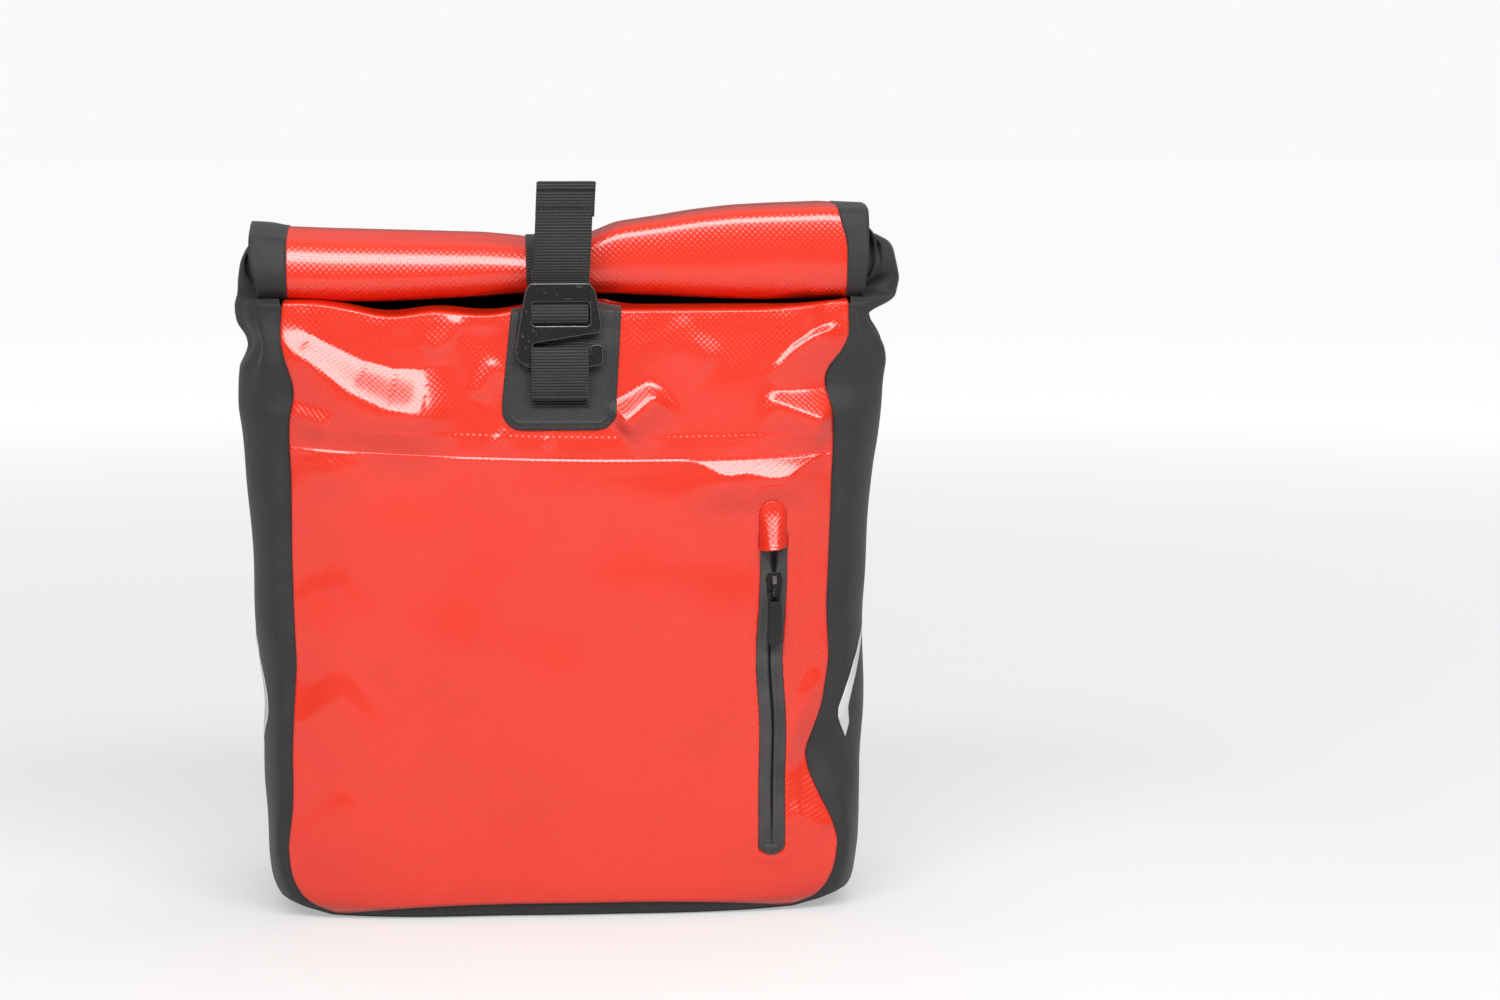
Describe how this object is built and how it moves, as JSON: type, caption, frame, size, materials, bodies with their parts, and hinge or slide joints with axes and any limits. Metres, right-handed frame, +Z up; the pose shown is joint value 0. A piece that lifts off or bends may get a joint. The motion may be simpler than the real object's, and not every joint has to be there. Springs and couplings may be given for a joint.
{
  "type": "pannier bag",
  "caption": "Roll-top bicycle pannier bag with a rolled mouth, strap with G-shaped hook, zipped outer pocket, and rack hooks with latches on its back.",
  "frame": {"origin": "centre of the flat base's lower face, where the bag stands", "axes": "+Z up, -Y out of the outer face with the hook and pocket, +Y towards the rack, +X to the right as the outer face is seen"},
  "size_m": [0.3392, 0.2132, 0.388],
  "materials": {
    "red_fabric": "glossy coated fabric, fine woven emboss",
    "black_fabric": "matt coated fabric, fine diagonal weave",
    "webbing": "ribbed woven webbing",
    "patch_rubber": "matt, fine woven emboss",
    "zip_tape": "satin film over a fine coil",
    "anodised_metal": "black anodised, worn edges",
    "pull_rubber": "soft matt",
    "hard_plastic": "fine moulded grain",
    "grey_plastic": "satin moulded",
    "stiffener": "satin sheet",
    "reflective": "silver reflective film",
    "steel": "plated"
  },
  "bodies": {
    "bag": {"front_panel": "red_fabric", "pocket_panel": "red_fabric", "side_left": "black_fabric", "side_right": "black_fabric", "back_panel": "black_fabric", "base_panel": "black_fabric", "back_stiffener": "stiffener", "reflector_left": "reflective", "reflector_right": "reflective", "buckle_patch": "patch_rubber", "lower_loop": "webbing", "strap_anchor": "webbing", "zip_tape_left": "zip_tape", "zip_tape_right": "zip_tape", "zip_garage": "red_fabric", "zip_stop": "zip_tape", "mounting_rail": "hard_plastic", "rail_screw_1": "steel", "rail_screw_2": "steel", "rail_screw_3": "steel", "rail_screw_4": "steel", "lower_screw_1": "steel", "lower_screw_2": "steel", "lower_rail": "hard_plastic"},
    "roll_top": {"mouth_roll": "red_fabric", "roll_end_left": "black_fabric", "roll_end_right": "black_fabric", "mouth_stiffener": "stiffener", "mouth_back": "black_fabric", "closing_strap": "webbing"},
    "buckle": {"strap_end": "webbing", "g_hook": "anodised_metal"},
    "strap_tail": {"strap_tail": "webbing"},
    "zip_slider": {"zip_slider": "anodised_metal"},
    "zip_pull": {"zip_pull": "pull_rubber"},
    "hook_left": {"hook_left": "hard_plastic", "hook_insert_left": "grey_plastic", "latch_pin_left": "steel"},
    "latch_left": {"latch_left": "grey_plastic"},
    "hook_right": {"hook_right": "hard_plastic", "hook_insert_right": "grey_plastic", "latch_pin_right": "steel"},
    "latch_right": {"latch_right": "grey_plastic"},
    "handle": {"carry_handle": "webbing", "handle_grip": "pull_rubber"},
    "lower_carriage": {"lower_carriage": "hard_plastic"},
    "lower_hook": {"lower_hook": "hard_plastic"}
  },
  "joints": [
    {"name": "roll_top_open", "type": "hinge", "parent": "bag", "child": "roll_top", "pos_m": [0, 0.079, 0.293], "axis": [-1, 0, 0], "range_deg": [0, 90]},
    {"name": "buckle_swing", "type": "hinge", "parent": "roll_top", "child": "buckle", "pos_m": [0, -0.0775, 0.342], "axis": [-1, 0, 0], "range_deg": [0, 70]},
    {"name": "strap_tail_bend", "type": "hinge", "parent": "buckle", "child": "strap_tail", "pos_m": [0, -0.0912, 0.322], "axis": [1, 0, 0], "range_deg": [0, 90]},
    {"name": "zip_slider_slide", "type": "slide", "parent": "bag", "child": "zip_slider", "axis": [0, 0, 1], "range_m": [-0.125, 0.006]},
    {"name": "zip_pull_swing", "type": "hinge", "parent": "zip_slider", "child": "zip_pull", "pos_m": [0.111, -0.08377, 0.173], "axis": [-1, 0, 0], "range_deg": [0, 95]},
    {"name": "hook_left_slide", "type": "slide", "parent": "bag", "child": "hook_left", "axis": [-1, 0, 0], "range_m": [-0.006, 0.028]},
    {"name": "hook_right_slide", "type": "slide", "parent": "bag", "child": "hook_right", "axis": [1, 0, 0], "range_m": [-0.006, 0.028]},
    {"name": "latch_left_swing", "type": "hinge", "parent": "hook_left", "child": "latch_left", "pos_m": [-0.085, 0.092, 0.234], "axis": [-1, 0, 0], "range_deg": [0, 55], "stiffness_Nm_per_rad": 0.01, "springref_deg": -17.19},
    {"name": "latch_right_swing", "type": "hinge", "parent": "hook_right", "child": "latch_right", "pos_m": [0.085, 0.092, 0.234], "axis": [-1, 0, 0], "range_deg": [0, 55], "stiffness_Nm_per_rad": 0.01, "springref_deg": -17.19},
    {"name": "handle_lift", "type": "slide", "parent": "bag", "child": "handle", "axis": [0, 0, 1], "range_m": [0, 0.015]},
    {"name": "lower_carriage_slide", "type": "slide", "parent": "bag", "child": "lower_carriage", "axis": [1, 0, 0], "range_m": [-0.07, 0.07]},
    {"name": "lower_hook_swivel", "type": "hinge", "parent": "lower_carriage", "child": "lower_hook", "pos_m": [0, 0.098, 0.092], "axis": [0, 1, 0], "range_deg": [-90, 90]}
  ],
  "couplings": [
    {"joint": "strap_tail_bend", "follows": "buckle_swing", "ratio": 1},
    {"joint": "latch_left_swing", "follows": "handle_lift", "rad_per_m": 60},
    {"joint": "latch_right_swing", "follows": "handle_lift", "rad_per_m": 60}
  ]
}
